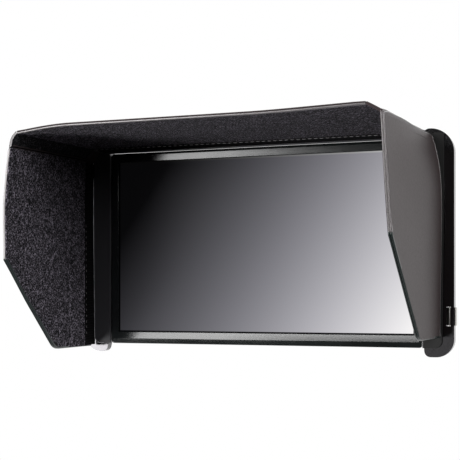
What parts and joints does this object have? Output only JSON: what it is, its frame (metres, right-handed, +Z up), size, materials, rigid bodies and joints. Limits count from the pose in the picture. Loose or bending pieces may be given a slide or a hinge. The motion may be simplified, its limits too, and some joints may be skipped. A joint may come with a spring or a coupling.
{
  "type": "camera field monitor with sun hood",
  "caption": "Flat field monitor with raised bezel, side plates, rear battery plate and a folding three-panel sun hood; hangs on a tripod thread.",
  "frame": {"origin": "centre of the mouth of the tripod socket, in the bottom face of the monitor", "axes": "-Y is the way the screen faces, +X is to the viewer's right, +Z is up"},
  "size_m": [0.1952, 0.12, 0.1082],
  "materials": {
    "bezel_plastic": "semi-gloss black moulding, very faintly green",
    "screen_glass": "clear glossy cover over the screen",
    "panel_glass": "display panel, dark upper left to pale lower right",
    "clear_acrylic": "clear light guide with diffuser films",
    "sheet_metal": "bare folded sheet",
    "circuit_board": "green solder mask",
    "screw_steel": "zinc-plated",
    "housing_plastic": "fine spark texture, satin",
    "black_screw": "black oxide",
    "brass_insert": "machined insert with a thread",
    "plate_paint": "smooth semi-gloss dark grey paint that mirrors its surroundings",
    "gold_contact": "gold-plated spring blades",
    "key_plastic": "satin moulding",
    "power_key_plastic": "satin dark red moulding",
    "socket_steel": "nickel-plated shell",
    "socket_plastic": "black moulding",
    "clip_paint": "satin warm grey paint",
    "strap_webbing": "woven elastic",
    "frame_plastic": "satin black sheet",
    "stiff_board": "grey stiffening board, pale on its cut edge",
    "hood_leather": "dark warm grey coated cloth with a very fine grain",
    "hood_lining": "black flocking that absorbs stray light",
    "hinge_fabric": "black woven tape"
  },
  "bodies": {
    "monitor": {"front_bezel": "bezel_plastic", "cover_glass": "screen_glass", "lcd_panel": "panel_glass", "light_guide": "clear_acrylic", "panel_tray": "sheet_metal", "main_board": "circuit_board", "board_screws": "screw_steel", "rear_housing": "housing_plastic", "housing_screws": "black_screw", "tripod_socket": "brass_insert", "left_side_plate": "plate_paint", "right_side_plate": "plate_paint", "plate_screws": "black_screw", "battery_plate": "housing_plastic", "battery_contacts": "gold_contact", "hdmi_input": "socket_steel", "hdmi_output": "socket_steel", "power_jack": "socket_plastic", "headphone_jack": "socket_plastic", "key_surround": "housing_plastic", "left_strap_clip": "clip_paint", "right_strap_clip": "clip_paint", "elastic_strap": "strap_webbing", "hood_frame": "frame_plastic", "locating_pins": "screw_steel", "top_hinge_tape": "hinge_fabric", "left_hinge_tape": "hinge_fabric", "right_hinge_tape": "hinge_fabric"},
    "top_panel": {"top_board": "stiff_board", "top_cover": "hood_leather", "top_lining": "hood_lining", "left_corner_flap": "hood_leather", "right_corner_flap": "hood_leather"},
    "left_wing": {"left_wing_board": "stiff_board", "left_wing_cover": "hood_leather", "left_wing_lining": "hood_lining"},
    "right_wing": {"right_wing_board": "stiff_board", "right_wing_cover": "hood_leather", "right_wing_lining": "hood_lining"},
    "latch_slider": {"battery_latch": "key_plastic"},
    "power_button": {"power_key": "power_key_plastic"},
    "input_button": {"input_key": "key_plastic"},
    "menu_button": {"menu_key": "key_plastic"},
    "down_button": {"down_key": "key_plastic"},
    "up_button": {"up_key": "key_plastic"}
  },
  "joints": [
    {"name": "top_fold", "type": "hinge", "parent": "monitor", "child": "top_panel", "pos_m": [-0.0012, -0.0278, 0.09995], "axis": [1, 0, 0], "range_deg": [0, 90], "deforming": ["top_hinge_tape"]},
    {"name": "left_wing_fold", "type": "hinge", "parent": "monitor", "child": "left_wing", "pos_m": [-0.0926, -0.018, 0.05], "axis": [0, 0, 1], "range_deg": [0, 87], "deforming": ["left_hinge_tape"]},
    {"name": "right_wing_fold", "type": "hinge", "parent": "monitor", "child": "right_wing", "pos_m": [0.0902, -0.018, 0.05], "axis": [0, 0, -1], "range_deg": [0, 87], "deforming": ["right_hinge_tape"]},
    {"name": "battery_latch_slide", "type": "slide", "parent": "monitor", "child": "latch_slider", "axis": [0, 0, 1], "range_m": [0, 0.003], "stiffness_N_per_m": 250},
    {"name": "power_key_press", "type": "slide", "parent": "monitor", "child": "power_button", "axis": [0, 0, -1], "range_m": [0, 0.0006], "stiffness_N_per_m": 800},
    {"name": "input_key_press", "type": "slide", "parent": "monitor", "child": "input_button", "axis": [0, 0, -1], "range_m": [0, 0.0006], "stiffness_N_per_m": 800},
    {"name": "menu_key_press", "type": "slide", "parent": "monitor", "child": "menu_button", "axis": [0, 0, -1], "range_m": [0, 0.0006], "stiffness_N_per_m": 800},
    {"name": "down_key_press", "type": "slide", "parent": "monitor", "child": "down_button", "axis": [0, 0, -1], "range_m": [0, 0.0006], "stiffness_N_per_m": 800},
    {"name": "up_key_press", "type": "slide", "parent": "monitor", "child": "up_button", "axis": [0, 0, -1], "range_m": [0, 0.0006], "stiffness_N_per_m": 800}
  ]
}
